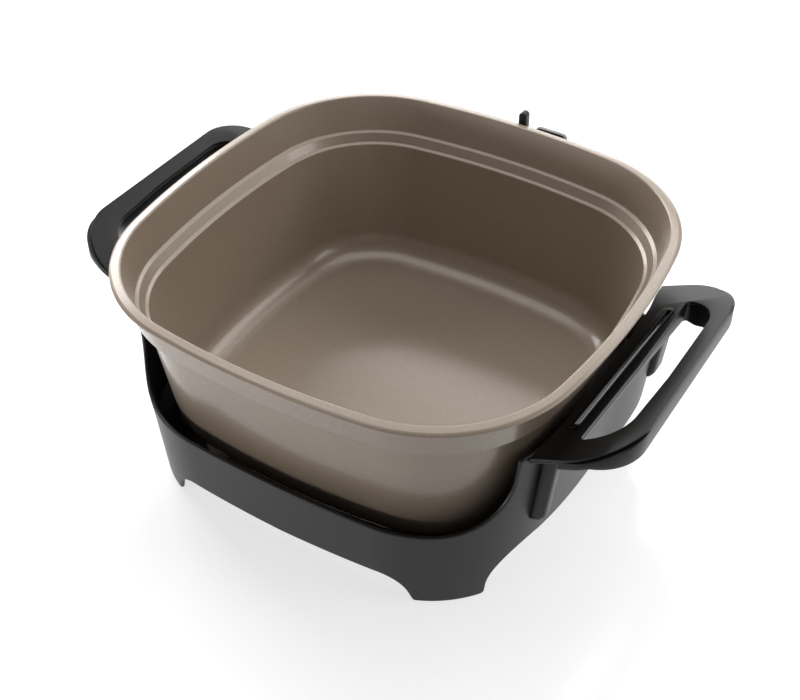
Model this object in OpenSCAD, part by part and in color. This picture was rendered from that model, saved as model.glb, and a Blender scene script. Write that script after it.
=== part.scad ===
// Electric roaster: a square lift-out pot in a legged base with two sloping loop
// handles and a rear lid hinge. Millimetres, +Z up, the front faces -Y.

/* [Pot] */
// Width of the pot across its lip
pot_w = 304; // [285:1:325]
// Corner radius of the lip's outer edge
pot_corner_r = 102.5; // [92:0.5:110]
// Height of the pot from its underside to the lip's widest edge
pot_h = 115.4; // [105:0.1:125]
// Height of the pot's underside above the table
pot_bottom_z = 36; // [35:0.5:40]
// Thickness of the pot's wall
pot_wall = 2.2; // [1.8:0.1:3]
// Thickness of the pot's floor
pot_floor_t = 3.2; // [2.8:0.1:4.5]
// Outer radius where the pot's wall turns into its floor
pot_floor_r = 22; // [16:0.5:26]
// Lean of the pot's lower wall in degrees
pot_draft = 7.7; // [5:0.1:9]
// Width of the lip, from its outer edge to its inner rounding
lip_w = 8.5; // [7:0.5:10]
// Thickness of the lip
lip_t = 3.2; // [2.6:0.1:4]
// Radius where the lip turns down into the band
lip_neck_r = 3; // [2:0.5:4]
// Distance from the lip's widest edge down to the band's lower edge
band_h = 23.4; // [20:0.2:27]
// How far the band narrows towards its lower edge
band_taper = 2.5; // [1:0.1:4]
// How far the wall steps inwards below the band
step_in = 6; // [4:0.5:8]
// Height of the step below the band
step_h = 9; // [7:0.5:12]

/* [Base] */
// Gap between the pot's wall and the base wall, under the handles
well_gap = 5.5; // [4:0.5:8]
// Thickness of the base wall
base_wall = 2.8; // [2.4:0.1:3.6]
// Lean of the base wall in degrees
base_draft = 5; // [3:0.5:7]
// How much tighter the base's corners are than the pot's
corner_tighten = 3.5; // [0:0.5:8]
// Height of the front and rear walls' top edge
front_top_z = 60.5; // [54:0.5:68]
// Radius where that edge sweeps up to the handles
dip_r = 27; // [20:1:32]
// Height of the opening under the front and rear walls
front_arch_h = 20; // [16:0.5:24]
// Half the length of that opening at the table
front_arch_half = 88; // [80:1:92]
// Corner radius of that opening
front_arch_r = 16; // [12:0.5:16]
// Height of the opening under the side walls, near the feet
side_arch_h = 34.5; // [28:0.5:36]
// Half the length of that opening at the table
side_arch_half = 99.5; // [92:0.5:102]
// Corner radius of that opening
side_arch_r = 27; // [20:1:28]
// How far the side wall's lower edge sags at its middle
side_arch_sag = 9; // [4:0.5:12]
// Height of the foot pads' rubber below the base wall
foot_lift = 1; // [0.5:0.1:2]
// Height of the underside of the fins below the handles
fin_z = 54; // [48:1:60]
// How far the fins stand out of the wall at their foot
fin_reach = 7; // [5:0.5:8]
// Thickness of the fins
fin_t = 9; // [8.5:0.5:11]
// Distance of the fins' outer faces from the middle of the side
fin_y = 77; // [72:0.5:79]

/* [Handles] */
// How far the handles reach out of the base wall
handle_reach = 45.2; // [42:0.2:50]
// Length of the handles along the side of the base
handle_len = 177; // [170:1:184]
// Slope of the handles in degrees
handle_tilt = 24.5; // [20:0.5:27]
// Height of the top of the handles' outer edge
handle_edge_z = 136; // [131:0.5:139]
// Thickness of the handle plates
plate_t = 3.5; // [3:0.1:4.5]
// Corner radius of the handles
handle_corner_r = 31; // [26:0.5:35]
// Width of the grip bar
grip_w = 8.6; // [7:0.1:11]
// Width of the shelf between the base wall and the finger gap
shelf_w = 14.7; // [13.5:0.1:17]
// Distance from the handle's ends to the finger gap's ends
gap_end = 19; // [17:0.5:24]
// Outer corner radius of the finger gap
gap_r = 24; // [14:0.5:27]
// Height of the underside of the handles' lower shells along the grip
skirt_z = 120.5; // [118:0.5:122]
// Thickness of plate and shell together, straight down, between wall and grip
shell_drop = 7; // [6.4:0.1:8]
// Height of the parting groove between plate and shell
groove_h = 1.2; // [0.8:0.1:1.6]
// Depth of the parting groove
groove_d = 1.2; // [0.8:0.1:1.6]
// Length of the slot in the shelf
slot_len = 116; // [100:1:124]
// Width of the slot
slot_w = 3.4; // [2.6:0.1:3.8]
// Width of the raised rail round the slot
rail_w = 2; // [1.5:0.1:2.4]
// Height of that rail above the plate
rail_h = 1.2; // [0.8:0.1:1.6]

/* [Hinge] */
// Gap between the pot's lip and the leaf behind it
leaf_gap = 3.5; // [3:0.1:6]
// Width of the leaf
leaf_w = 23.2; // [18:0.2:28]
// Thickness of the leaf
leaf_t = 3; // [2.5:0.1:4]
// Height of the leaf above its pin
leaf_h = 18.2; // [14:0.2:22]
// Corner radius of the leaf
leaf_corner_r = 4; // [2:0.5:6]
// Distance from the lip's widest edge down to the pin
pin_drop = 19.4; // [16:0.2:24]
// Diameter of the hinge pin
pin_d = 5; // [4:0.1:6]
// Wall round the pin in the leaf's barrel and in the bracket's cheeks
knuckle_wall = 3; // [2:0.1:4]
// Width of the post
post_w = 5.4; // [4.5:0.1:7]
// Height of the post above the lip's widest edge
post_rise = 7; // [4:0.5:12]
// Width of the bracket's right cheek
cheek_w = 5.4; // [4:0.1:8]

/* [Heater] */
// Diameter of the heater tube
element_d = 7; // [6:0.1:8]
// Half the width of the heater loop
element_half = 62; // [56:1:66]
// Corner radius of the heater loop
element_r = 30; // [22:1:36]
// Depth of the heater's groove in the pot's underside
element_bed = 0.8; // [0.4:0.1:1.2]
// Distance between the two terminal pins
pin_pitch = 28; // [25:0.5:32]
// Diameter of the terminal pins
terminal_d = 4.8; // [4:0.1:5]
// Length of the terminal pins outside the guard
terminal_len = 22; // [18:0.5:24]
// Depth of the terminal pins below the pot's underside
terminal_drop = 10; // [9.5:0.1:10.5]
// Diameter of the sensor sleeve
sleeve_d = 7; // [6:0.1:8]
// Thickness of sheet metal pieces
sheet_t = 1.5; // [1:0.1:1.6]
// Height of the heat shield's underside above the table
shield_z = 17; // [16:0.5:17.5]
// Height of the heat shield's upturned rim
shield_rim_h = 4; // [3:0.5:5]
// Width of the plug opening in the base wall
port_w = 60; // [52:1:66]
// Height of the top of the plug opening
port_top_z = 46; // [42:0.5:50]

/* [Fits] */
// Radial clearance of the pivot pin in the leaf
pivot_clearance = 0.05; // [0.02:0.01:0.1]
// Radial clearance of pegs, pins and screws in their own holes
hole_clearance = 0.05; // [0.02:0.01:0.1]
// Side clearance of the leaf between the cheeks
side_clearance = 0.6; // [0.3:0.1:1]
// Gap between the pot and the pads that it stands on
rest_gap = 0.2; // [0.1:0.1:0.4]
// Shaft diameter of the screws
screw_d = 3; // [2.6:0.1:3.4]
// Head diameter of the screws
screw_head_d = 5.6; // [5:0.1:6]
// Head height of the screws
screw_head_h = 2; // [1.6:0.1:2.4]
// Radial clearance round sunk screw heads
head_clearance = 0.4; // [0.2:0.1:0.6]

/* [Hidden] */
$fn = 96;
past = 1;
reach_all = 400;
drive_w = 0.8;
drive_d = 0.7;
head_sink = 1;
hole_bottom = 0.5;

// Lengths that several solids share are kept to whole microns
function micron(x) = round(x * 1000) / 1000;
function arc(centre, r, from, to, steps) =
    [for (i = [0:steps]) let (a = from + (to - from) * i / steps) centre + r * [cos(a), sin(a)]];

// Pot: offsets are counted from the lip's widest edge
lip_z = pot_bottom_z + pot_h;
pot_shape = [pot_w / 2, pot_corner_r];
lip_edge_r = 0.5;
neck_off = -lip_w - lip_edge_r;
band_z = lip_z - band_h;
band_off = neck_off - band_taper;
step_z = band_z - step_h;
step_off = band_off - step_in;
ledge_rise = 1.5;
floor_ring_w = 45;
floor_overlap = 5;
floor_ring_off = step_off - floor_ring_w;

// Handles and base: the base wall is set from the pot, the handles from the wall
plate_drop = plate_t / cos(handle_tilt);
seat_z = handle_edge_z - plate_drop - handle_reach * tan(handle_tilt);
wall_lean = tan(base_draft);
wall_x = pot_w / 2 + step_off + well_gap + base_wall;
base_half = micron(wall_x - wall_lean * seat_z);
base_shape = [base_half, pot_corner_r - (pot_w / 2 - base_half) - corner_tighten];
handle_x = wall_x + handle_reach;
gap_in_x = wall_x + shelf_w;
gap_out_x = handle_x - grip_w;
slot_x = wall_x + (shelf_w - slot_w) / 2;
shell_inset = 9;
shell_x = wall_x + shell_inset;
skirt_x = handle_x - (handle_edge_z - shell_drop - skirt_z) / tan(handle_tilt);
parting_gap = 0.05;
gap_len = handle_len - 2 * gap_end;
screw_edge = 8.6;
screw_turn = 39;
grip_screw_at = [handle_x, handle_len / 2] - handle_corner_r * [1, 1]
    + (handle_corner_r - screw_edge) * [cos(screw_turn), sin(screw_turn)];
grip_screw_bite = 2;
bolt_inset = 1.2;
bolt_at = [wall_x - bolt_inset, fin_y - fin_t / 2];
bolt_grip = 14;
bolt_bite = 1;
wall_over = 10;
cut_margin = 20;

// Inside of the base
foot_floor_z = 2.5;
foot_floor_t = 3.5;
shield_gap = 20;
shield_off = -shield_gap;
shield_hole_gap = 0.5;
shield_screw_len = 9;
boss_inset = 5;
boss_xy = base_shape[0] - base_shape[1] + (base_shape[1] + shield_off - boss_inset) / sqrt(2);
rest_inset = 12;
rest_xy = boss_xy - rest_inset;
foot_outset = 4;
foot_xy = boss_xy + foot_outset;
rest_r = 6.5;
rest_pad_h = 4;
rest_peg_r = 2.5;
rest_peg_h = 6;
pedestal_r = 9;
pedestal_top_z = pot_bottom_z - rest_gap - rest_pad_h;
foot_pad_r = 8;
foot_peg_r = 3;
foot_peg_h = 2.5;
peg_gap = 0.5;
boss_r = 4.5;
trim_t = 1.6;
trim_border = 5;
dip_gap = 1.5;

// Heater and its terminals, on the left side of the pot
element_z = pot_bottom_z - element_d / 2 + element_bed;
terminal_z = pot_bottom_z - terminal_drop;
guard_inset = 11.5;
guard_x = guard_inset - base_half - shield_off;
guard_side = 18;
guard_half = pin_pitch / 2 + guard_side;
guard_drop = 4;
guard_clear = 1;
guard_foot = 17;
guard_boss_r = 5;
guard_boss_inset = 9.5;
guard_boss_side = 10;
guard_boss_at = [guard_x + guard_boss_inset, pin_pitch / 2 + guard_boss_side];
guard_screw_bite = 1;
bush_r = 4;
bush_len = 8;
leg_gap = 2;
leg_x = guard_x + leg_gap;
sleeve_wall = 0.9;
sleeve_end_t = 3;
sleeve_boss_r = 6;
sleeve_gap = 4;
sleeve_in_x = -element_half - sleeve_gap;

// Rear hinge
leaf_y = pot_w / 2 + leaf_gap;
pin_r = pin_d / 2;
knuckle_r = pin_r + knuckle_wall;
pin_setback = 1.5;
pin_y = leaf_y + leaf_t + pin_setback;
pin_z = lip_z - pin_drop;
post_x = -2.2;
leaf_offset = 11.7;
leaf_x = post_x + leaf_offset;
barrel_gap = 0.5;
cheek_back = 2;
cheek_x = leaf_x + leaf_w + side_clearance;
bracket_t = 3;
bracket_lead = 1;
bracket_y = leaf_y - bracket_lead;
bracket_left = 5.8;
bracket_right = 1.4;
bracket_x = post_x - bracket_left;
bracket_len = cheek_x + cheek_w + bracket_right - bracket_x;
bracket_h = 20;
bracket_clear = 2.5;
bracket_z = pin_z - knuckle_r - bracket_clear - bracket_h;
fin_root = 5;
fin_top = 4;
fin_chamfer = 3;
tower_t = 7;
tower_out = 8;
tower_root = 1.8;
tower_foot_h = 4;
tower_slope_h = 6;
tower_lead_h = 10;
tower_lead_y = 2;
hinge_screw_inset = 10;
hinge_screw_len = 8;
pin_head_h = 1.5;
clip_t = 1.2;
clip_gap = 0.2;
clip_wall = 1.9;
clip_r = pin_r + clip_wall;

// The whole object is centred between the lip's front and the hinge's rear
centre_y = (pot_w / 2 - (pin_y + knuckle_r)) / 2;

module placed() translate([0, centre_y, 0]) children();
module both_sides() for (s = [0, 1]) mirror([s, 0, 0]) children();
module corners(at) for (sx = [-1, 1], sy = [-1, 1]) translate([sx * at, sy * at, 0]) children();
module along_x(x0, x1) translate([x0, 0, 0]) rotate([90, 0, 90]) linear_extrude(x1 - x0) children();
module along_y(y0, y1) translate([0, y1, 0]) rotate([90, 0, 0]) linear_extrude(y1 - y0) children();

// Outlines are rounded squares: a shape is its half width and its corner radius,
// and an offset outwards widens both. A ring carries a profile of [offset, height]
// points round such an outline.
module ring(shape, profile) {
    c = shape[0] - shape[1];
    for (k = [0:3]) rotate(90 * k) {
        along_y(-c, c) polygon([for (p = profile) [shape[0] + micron(p[0]), p[1]]]);
        translate([c, c, 0]) rotate_extrude(angle = 90)
            polygon([for (p = profile) [shape[1] + micron(p[0]), p[1]]]);
    }
}
module outline(shape, off) {
    c = shape[0] - shape[1];
    half = shape[0] + micron(off);
    square([2 * c, 2 * half], center = true);
    square([2 * half, 2 * c], center = true);
    for (sx = [-1, 1], sy = [-1, 1]) translate([sx * c, sy * c]) circle(shape[1] + micron(off));
}

module prism(z0, z1) translate([0, 0, z0]) linear_extrude(z1 - z0) children();

// Screw along Z with its head's seat at z = 0 and its shaft below
module screw(len) {
    translate([0, 0, -len]) cylinder(d = screw_d, h = len + past / 2);
    difference() {
        cylinder(d = screw_head_d, h = screw_head_h);
        translate([-screw_head_d / 2, -drive_w / 2, screw_head_h - drive_d])
            cube([screw_head_d, drive_w, past]);
    }
}
module screw_hole(len) {
    translate([0, 0, -len]) cylinder(d = screw_d + 2 * hole_clearance, h = len + past);
}

// Pot
function wall_off(z) = step_off - (step_z - z) * tan(pot_draft);
function fillet_at(bottom, r, inset) =
    [wall_off(bottom + r) - inset - r / cos(pot_draft), bottom + r];
pot_profile = concat(
    [[floor_ring_off, pot_bottom_z]],
    arc(fillet_at(pot_bottom_z, pot_floor_r, 0), pot_floor_r, -90, -pot_draft, 8),
    [[step_off, step_z], [band_off, band_z]],
    arc([neck_off + lip_neck_r, lip_z - lip_t / 2 - lip_neck_r], lip_neck_r, 180, 90, 4),
    arc([-lip_t / 2, lip_z], lip_t / 2, -90, 90, 6),
    arc([-lip_w, lip_z + lip_t / 2 - lip_edge_r - pot_wall], lip_edge_r + pot_wall, 90, 180, 4),
    [[band_off - pot_wall, band_z + ledge_rise], [step_off - pot_wall, step_z + ledge_rise]],
    arc(fillet_at(pot_bottom_z + pot_floor_t, pot_floor_r - pot_wall, pot_wall),
        pot_floor_r - pot_wall, -pot_draft, -90, 8),
    [[floor_ring_off, pot_bottom_z + pot_floor_t]]
);

module pot() color("#8f857c") difference() {
    union() {
        ring(pot_shape, pot_profile);
        prism(pot_bottom_z, pot_bottom_z + pot_floor_t) outline(pot_shape, floor_ring_off + floor_overlap);
        for (s = [-1, 1]) translate([guard_boss_at[0], s * guard_boss_at[1], pot_bottom_z - guard_drop])
            cylinder(r = guard_boss_r, h = guard_drop + past);
        translate([sleeve_in_x, 0, terminal_z - sleeve_boss_r + past])
            cylinder(r = sleeve_boss_r, h = pot_bottom_z - terminal_z + sleeve_boss_r);
    }
    element_loop(element_d + 2 * hole_clearance);
    translate([sleeve_in_x - sleeve_boss_r - past, 0, terminal_z]) rotate([0, 90, 0])
        cylinder(d = sleeve_d + 2 * hole_clearance, h = sleeve_boss_r + past);
    guard_screw_places() rotate([180, 0, 0]) screw_hole(guard_drop + guard_screw_bite);
}

// Heater under the pot
module loop_tube(d) {
    straight = element_half - element_r;
    for (k = [0:3]) rotate(90 * k) {
        translate([straight, straight, 0]) rotate_extrude(angle = 90)
            translate([element_r, 0]) circle(d = d);
        translate([element_half, straight, 0]) rotate([90, 0, 0]) cylinder(d = d, h = 2 * straight);
    }
}
module element_loop(d) translate([0, 0, element_z]) difference() {
    loop_tube(d);
    translate([-element_half - d, -pin_pitch / 2, -d]) cube([2 * d, pin_pitch, 2 * d]);
}
module heating_element() color("#4a4744") {
    element_loop(element_d);
    for (s = [-1, 1]) translate([-element_half, s * pin_pitch / 2, 0]) {
        translate([0, 0, element_z]) sphere(d = element_d);
        translate([0, 0, terminal_z]) sphere(d = element_d);
        translate([0, 0, terminal_z]) cylinder(d = element_d, h = element_z - terminal_z);
        translate([0, 0, terminal_z]) rotate([0, -90, 0]) cylinder(d = element_d, h = -leg_x - element_half);
    }
}
module terminal_places() for (s = [-1, 1]) translate([leg_x, s * pin_pitch / 2, terminal_z])
    rotate([0, -90, 0]) children();
module terminal_pins() color("#c9c9c4") terminal_places() {
    cylinder(d = terminal_d, h = leg_x - guard_x + sheet_t + terminal_len);
}
module terminal_bushes() color("#e8e4da") terminal_places() difference() {
    cylinder(r = bush_r, h = bush_len);
    translate([0, 0, -past]) cylinder(d = terminal_d + 2 * hole_clearance, h = bush_len + 2 * past);
}
module guard_screw_places() for (s = [-1, 1])
    translate([guard_boss_at[0], s * guard_boss_at[1], pot_bottom_z - guard_drop - sheet_t]) children();
module terminal_guard() color("#a8a8a6") difference() {
    top = pot_bottom_z - guard_drop;
    union() {
        translate([guard_x - sheet_t, -guard_half, shield_z + sheet_t + guard_clear])
            cube([sheet_t, 2 * guard_half, top - shield_z - sheet_t - guard_clear]);
        translate([guard_x - sheet_t, -guard_half, top - sheet_t])
            cube([guard_foot + sheet_t, 2 * guard_half, sheet_t]);
    }
    terminal_places() translate([0, 0, -past]) cylinder(r = bush_r + hole_clearance, h = bush_len);
    translate([guard_x + past, 0, terminal_z]) rotate([0, -90, 0])
        cylinder(d = sleeve_d + 2 * hole_clearance, h = sheet_t + 2 * past);
    guard_screw_places() rotate([180, 0, 0]) screw_hole(guard_drop);
}
module guard_screws() color("#9a9a98") guard_screw_places()
    rotate([180, 0, 0]) screw(guard_drop + guard_screw_bite);
module probe_sleeve() color("#b9b9b4") difference() {
    len = sleeve_in_x - guard_x + sheet_t + terminal_len;
    translate([sleeve_in_x, 0, terminal_z]) rotate([0, -90, 0]) difference() {
        cylinder(d = sleeve_d, h = len);
        translate([0, 0, sleeve_end_t]) cylinder(d = sleeve_d - 2 * sleeve_wall, h = len);
    }
}

// Base
module dip() {
    edge = handle_len / 2 + dip_gap;
    top = handle_edge_z;
    for (s = [-1, 1]) scale([s, 1]) {
        translate([edge + dip_r, front_top_z]) square([reach_all, top]);
        translate([edge, front_top_z + dip_r]) square([reach_all, top]);
        translate([edge + dip_r, front_top_z + dip_r]) circle(dip_r);
    }
}
module arch(half, h, r) {
    translate([-half + r, -past]) square([2 * (half - r), h + past]);
    translate([-half, -past]) square([2 * half, h - r + past]);
    for (s = [-1, 1]) translate([s * (half - r), h - r]) circle(r);
}
module side_arch() {
    half = side_arch_half - side_arch_r;
    sag_r = (half * half + side_arch_sag * side_arch_sag) / (2 * side_arch_sag);
    difference() {
        arch(side_arch_half, side_arch_h, side_arch_r);
        translate([0, side_arch_h - side_arch_sag + sag_r]) circle(sag_r, $fn = 360);
    }
}
module foot_plan() {
    foot_in = rest_xy - pedestal_r;
    intersection() {
        outline(base_shape, -base_wall / 2);
        for (k = [0:3]) rotate(90 * k) polygon([
            [foot_in, foot_in], [front_arch_half, foot_in],
            [reach_all, reach_all], [foot_in, front_arch_half]
        ]);
    }
}
module wall_ring(t0, t1, z0, z1) ring(base_shape, [
    [wall_lean * z0 - t1, z0], [wall_lean * z0 - t0, z0],
    [wall_lean * z1 - t0, z1], [wall_lean * z1 - t1, z1]
]);
module above_plate() both_sides() translate([handle_x, 0, handle_edge_z - plate_drop])
    rotate([0, -handle_tilt, 0]) translate([-2 * handle_reach, -handle_len, 0])
    cube([3 * handle_reach, 2 * handle_len, reach_all]);
module fins() both_sides() for (s = [-1, 1]) {
    foot = base_half + wall_lean * fin_z;
    y0 = s * (fin_y - fin_t / 2) - fin_t / 2;
    along_y(y0, y0 + fin_t) {
        polygon([
            [foot - fin_root, fin_z], [foot + fin_reach - fin_chamfer, fin_z],
            [foot + fin_reach, fin_z + fin_chamfer], [wall_x + fin_top, seat_z],
            [wall_x + fin_top, seat_z + wall_over], [wall_x - fin_top, seat_z + wall_over],
            [wall_x - fin_root, seat_z]
        ]);
    }
}
module tower() {
    rear = function (z) base_half + wall_lean * z;
    foot_z = front_arch_h + tower_foot_h;
    top_z = bracket_z + bracket_h;
    along_x(bracket_x, bracket_x + bracket_len) polygon([
        [rear(foot_z) - tower_root, foot_z], [rear(foot_z) + tower_t, foot_z + tower_slope_h],
        [rear(front_top_z) + tower_out, front_top_z], [bracket_y, bracket_z], [bracket_y, top_z],
        [bracket_y - tower_t, top_z], [bracket_y - tower_t, bracket_z + tower_slope_h],
        [rear(front_top_z) + tower_lead_y, front_top_z + tower_lead_h],
        [rear(front_top_z) - tower_root, front_top_z - past]
    ]);
}
module bolt_places() both_sides() for (s = [-1, 1])
    translate([bolt_at[0], s * bolt_at[1], seat_z - bolt_grip]) rotate([180, 0, 0]) children();
module port() translate([-handle_x, -port_w / 2, -past])
    cube([handle_x + guard_x, port_w, port_top_z + past]);

module base_frame() color("#2e2e2e") difference() {
    union() {
        difference() {
            wall_ring(0, base_wall, foot_lift, seat_z + wall_over);
            along_x(-reach_all, reach_all) dip();
            along_x(-reach_all, reach_all) side_arch();
            along_y(-reach_all, reach_all) arch(front_arch_half, front_arch_h, front_arch_r);
            port();
        }
        prism(foot_floor_z, foot_floor_z + foot_floor_t) foot_plan();
        corners(rest_xy) translate([0, 0, foot_floor_z]) {
            cylinder(r = pedestal_r, h = shield_z - foot_floor_z);
            cylinder(r = rest_r, h = pedestal_top_z - foot_floor_z);
        }
        corners(boss_xy) translate([0, 0, foot_floor_z]) cylinder(r = boss_r, h = shield_z - foot_floor_z);
        fins();
        tower();
    }
    above_plate();
    corners(rest_xy) translate([0, 0, pedestal_top_z - rest_peg_h])
        cylinder(r = rest_peg_r + hole_clearance, h = rest_peg_h + past);
    corners(boss_xy) translate([0, 0, shield_z]) screw_hole(shield_z - foot_floor_z - foot_floor_t - past);
    corners(foot_xy) cylinder(r = foot_peg_r + hole_clearance, h = foot_floor_z + foot_peg_h);
    bolt_places() {
        screw_hole(bolt_grip + plate_drop + 2 * past);
        cylinder(d = screw_head_d + 2 * head_clearance, h = seat_z);
    }
    hinge_screw_places() screw_hole(hinge_screw_len);
}
module port_trim() color("#3a3a3a") difference() {
    intersection() {
        wall_ring(-trim_t, 0, foot_lift, port_top_z + trim_border);
        translate([-handle_x, -port_w / 2 - trim_border, 0])
            cube([handle_x - element_half, port_w + 2 * trim_border, port_top_z + trim_border]);
    }
    port();
    along_x(-reach_all, 0) side_arch();
}
module heat_shield() color("#b4b4b0") difference() {
    union() {
        prism(shield_z, shield_z + sheet_t) outline(base_shape, shield_off);
        prism(shield_z, shield_z + shield_rim_h) difference() {
            outline(base_shape, shield_off);
            outline(base_shape, shield_off - sheet_t);
        }
    }
    corners(rest_xy) translate([0, 0, shield_z - past])
        cylinder(r = rest_r + shield_hole_gap, h = sheet_t + 2 * past);
    corners(boss_xy) translate([0, 0, shield_z + past]) screw_hole(sheet_t + 2 * past);
}
module shield_screws() color("#9a9a98") corners(boss_xy) translate([0, 0, shield_z + sheet_t])
    screw(shield_screw_len);
module rest_pads() color("#c7a58c") corners(rest_xy) translate([0, 0, pedestal_top_z]) {
    cylinder(r = rest_r, h = rest_pad_h);
    translate([0, 0, -rest_peg_h + peg_gap]) cylinder(r = rest_peg_r, h = rest_peg_h);
}
module foot_pads() color("#1d1d1d") corners(foot_xy) {
    cylinder(r = foot_pad_r, h = foot_floor_z);
    cylinder(r = foot_peg_r, h = foot_floor_z + foot_peg_h - peg_gap);
}

// Handles: the right one is drawn, the left one is its mirror image
module handle_edge(inset) {
    mid = handle_len / 2 - handle_corner_r;
    translate([0, -handle_len / 2 + inset]) square([handle_x - handle_corner_r, handle_len - 2 * inset]);
    for (s = [-1, 1]) translate([handle_x - handle_corner_r, s * mid]) circle(handle_corner_r - inset);
    translate([0, -mid]) square([handle_x - inset, 2 * mid]);
}
module handle_plan() difference() {
    handle_edge(0);
    finger_gap();
    outline(base_shape, wall_lean * seat_z - base_wall);
}
module finger_gap() {
    mid = gap_len / 2 - gap_r;
    gap_w = gap_out_x - gap_in_x;
    intersection() {
        translate([gap_in_x, -gap_len / 2]) square([gap_w, gap_len]);
        union() {
            translate([gap_in_x - gap_r, -gap_len / 2]) square([gap_w, gap_len]);
            translate([gap_in_x - gap_r, -mid]) square([gap_w + gap_r, 2 * mid]);
            for (s = [-1, 1]) translate([gap_out_x - gap_r, s * mid]) circle(gap_r);
        }
    }
}
module slot_plan(d) {
    half = slot_len / 2 - slot_w / 2;
    translate([slot_x - d / 2, -half]) square([d, 2 * half]);
    for (s = [-1, 1]) translate([slot_x, s * half]) circle(d = d);
}
module below_plate_top(drop) translate([handle_x, 0, handle_edge_z - drop])
    rotate([0, -handle_tilt, 0]) translate([-handle_x, -handle_len, -handle_x])
    cube([1.5 * handle_x, 2 * handle_len, handle_x]);
module sloped(top_drop, bottom_drop) intersection() {
    prism(seat_z - cut_margin, handle_edge_z + cut_margin) children();
    difference() {
        below_plate_top(top_drop);
        below_plate_top(bottom_drop);
    }
}
module grip_screw_places() for (s = [-1, 1])
    translate([grip_screw_at[0], s * grip_screw_at[1], skirt_z + screw_head_h + head_sink])
    rotate([180, 0, 0]) children();
grip_screw_len = handle_edge_z - plate_drop - (handle_x - grip_screw_at[0]) * tan(handle_tilt)
    - skirt_z - screw_head_h - head_sink + grip_screw_bite;
module handle_half() difference() {
    union() {
        sloped(0, plate_drop) handle_plan();
        sloped(-rail_h, plate_drop) slot_plan(slot_w + 2 * rail_w);
    }
    prism(seat_z - cut_margin, handle_edge_z + cut_margin) slot_plan(slot_w);
    grip_screw_places() screw_hole(grip_screw_len);
    for (s = [-1, 1]) translate([bolt_at[0], s * bolt_at[1], seat_z - bolt_grip])
        rotate([180, 0, 0]) screw_hole(bolt_grip + bolt_bite + hole_bottom);
}
module handle_right() color("#353535") handle_half();
module handle_left() color("#353535") mirror([1, 0, 0]) handle_half();
// Section of the shell: flat below the grip, and along the plate's slope nearer the wall
function plate_under(x) = handle_edge_z - plate_drop - parting_gap - (handle_x - x) * tan(handle_tilt);
module shell_section() polygon([
    [shell_x, plate_under(shell_x)], [handle_x + past, plate_under(handle_x + past)],
    [handle_x + past, skirt_z], [skirt_x, skirt_z],
    [shell_x, plate_under(shell_x) + plate_drop + parting_gap - shell_drop]
]);
module shell_half() difference() {
    intersection() {
        prism(seat_z - cut_margin, handle_edge_z + cut_margin) handle_plan();
        along_y(-handle_len, handle_len) shell_section();
    }
    sloped(plate_drop - past, plate_drop + groove_h) difference() {
        translate([wall_x, -handle_len]) square([handle_x, 2 * handle_len]);
        handle_edge(groove_d);
    }
    grip_screw_places() {
        screw_hole(grip_screw_len);
        cylinder(d = screw_head_d + 2 * head_clearance, h = screw_head_h + head_sink + past);
    }
}
module grip_shell_right() color("#2b2b2b") shell_half();
module grip_shell_left() color("#2b2b2b") mirror([1, 0, 0]) shell_half();
module handle_bolts() color("#8d8d8b") bolt_places() screw(bolt_grip + bolt_bite);
module grip_screws() color("#8d8d8b") both_sides() grip_screw_places() screw(grip_screw_len - hole_bottom);

// Rear hinge
module hinge_screw_places() for (x = [hinge_screw_inset, bracket_len - hinge_screw_inset])
    translate([bracket_x + x, bracket_y + bracket_t, bracket_z + bracket_h / 2])
    rotate([-90, 0, 0]) children();
module cheek(x, w) {
    translate([x, pin_y, pin_z]) rotate([0, 90, 0]) cylinder(r = knuckle_r, h = w);
    translate([x, bracket_y, bracket_z + bracket_h / 2])
        cube([w, pin_y + knuckle_r - bracket_y - cheek_back, pin_z - bracket_z - bracket_h / 2]);
}
module hinge_bracket() color("#262626") difference() {
    union() {
        translate([bracket_x, bracket_y, bracket_z]) cube([bracket_len, bracket_t, bracket_h]);
        cheek(post_x, leaf_x - side_clearance - post_x);
        cheek(cheek_x, cheek_w);
        translate([post_x, bracket_y, pin_z])
            cube([post_w, leaf_t + cheek_back, pin_drop + post_rise - post_w / 2]);
        translate([post_x + post_w / 2, bracket_y, lip_z + post_rise - post_w / 2]) rotate([-90, 0, 0])
            cylinder(d = post_w, h = leaf_t + cheek_back);
    }
    translate([bracket_x, pin_y, pin_z]) rotate([0, 90, 0])
        cylinder(r = pin_r + hole_clearance, h = bracket_len);
    hinge_screw_places() {
        screw_hole(hinge_screw_len);
        cylinder(d = screw_head_d + 2 * head_clearance, h = 3 * screw_head_h);
    }
}
module hinge_screws() color("#9a9a98") hinge_screw_places() screw(hinge_screw_len);
module hinge_pin() color("#b5b5b2") translate([post_x - pin_head_h - clip_gap, pin_y, pin_z])
rotate([0, 90, 0]) {
    cylinder(r = clip_r, h = pin_head_h);
    cylinder(r = pin_r, h = cheek_x + cheek_w - post_x + pin_head_h + clip_gap + 2 * clip_t);
}
module pin_clip() color("#8d8d8b") translate([cheek_x + cheek_w + clip_gap, pin_y, pin_z]) rotate([0, 90, 0])
    difference() {
        cylinder(r = clip_r, h = clip_t);
        translate([0, 0, -past]) cylinder(r = pin_r + hole_clearance, h = clip_t + 2 * past);
    }
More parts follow.
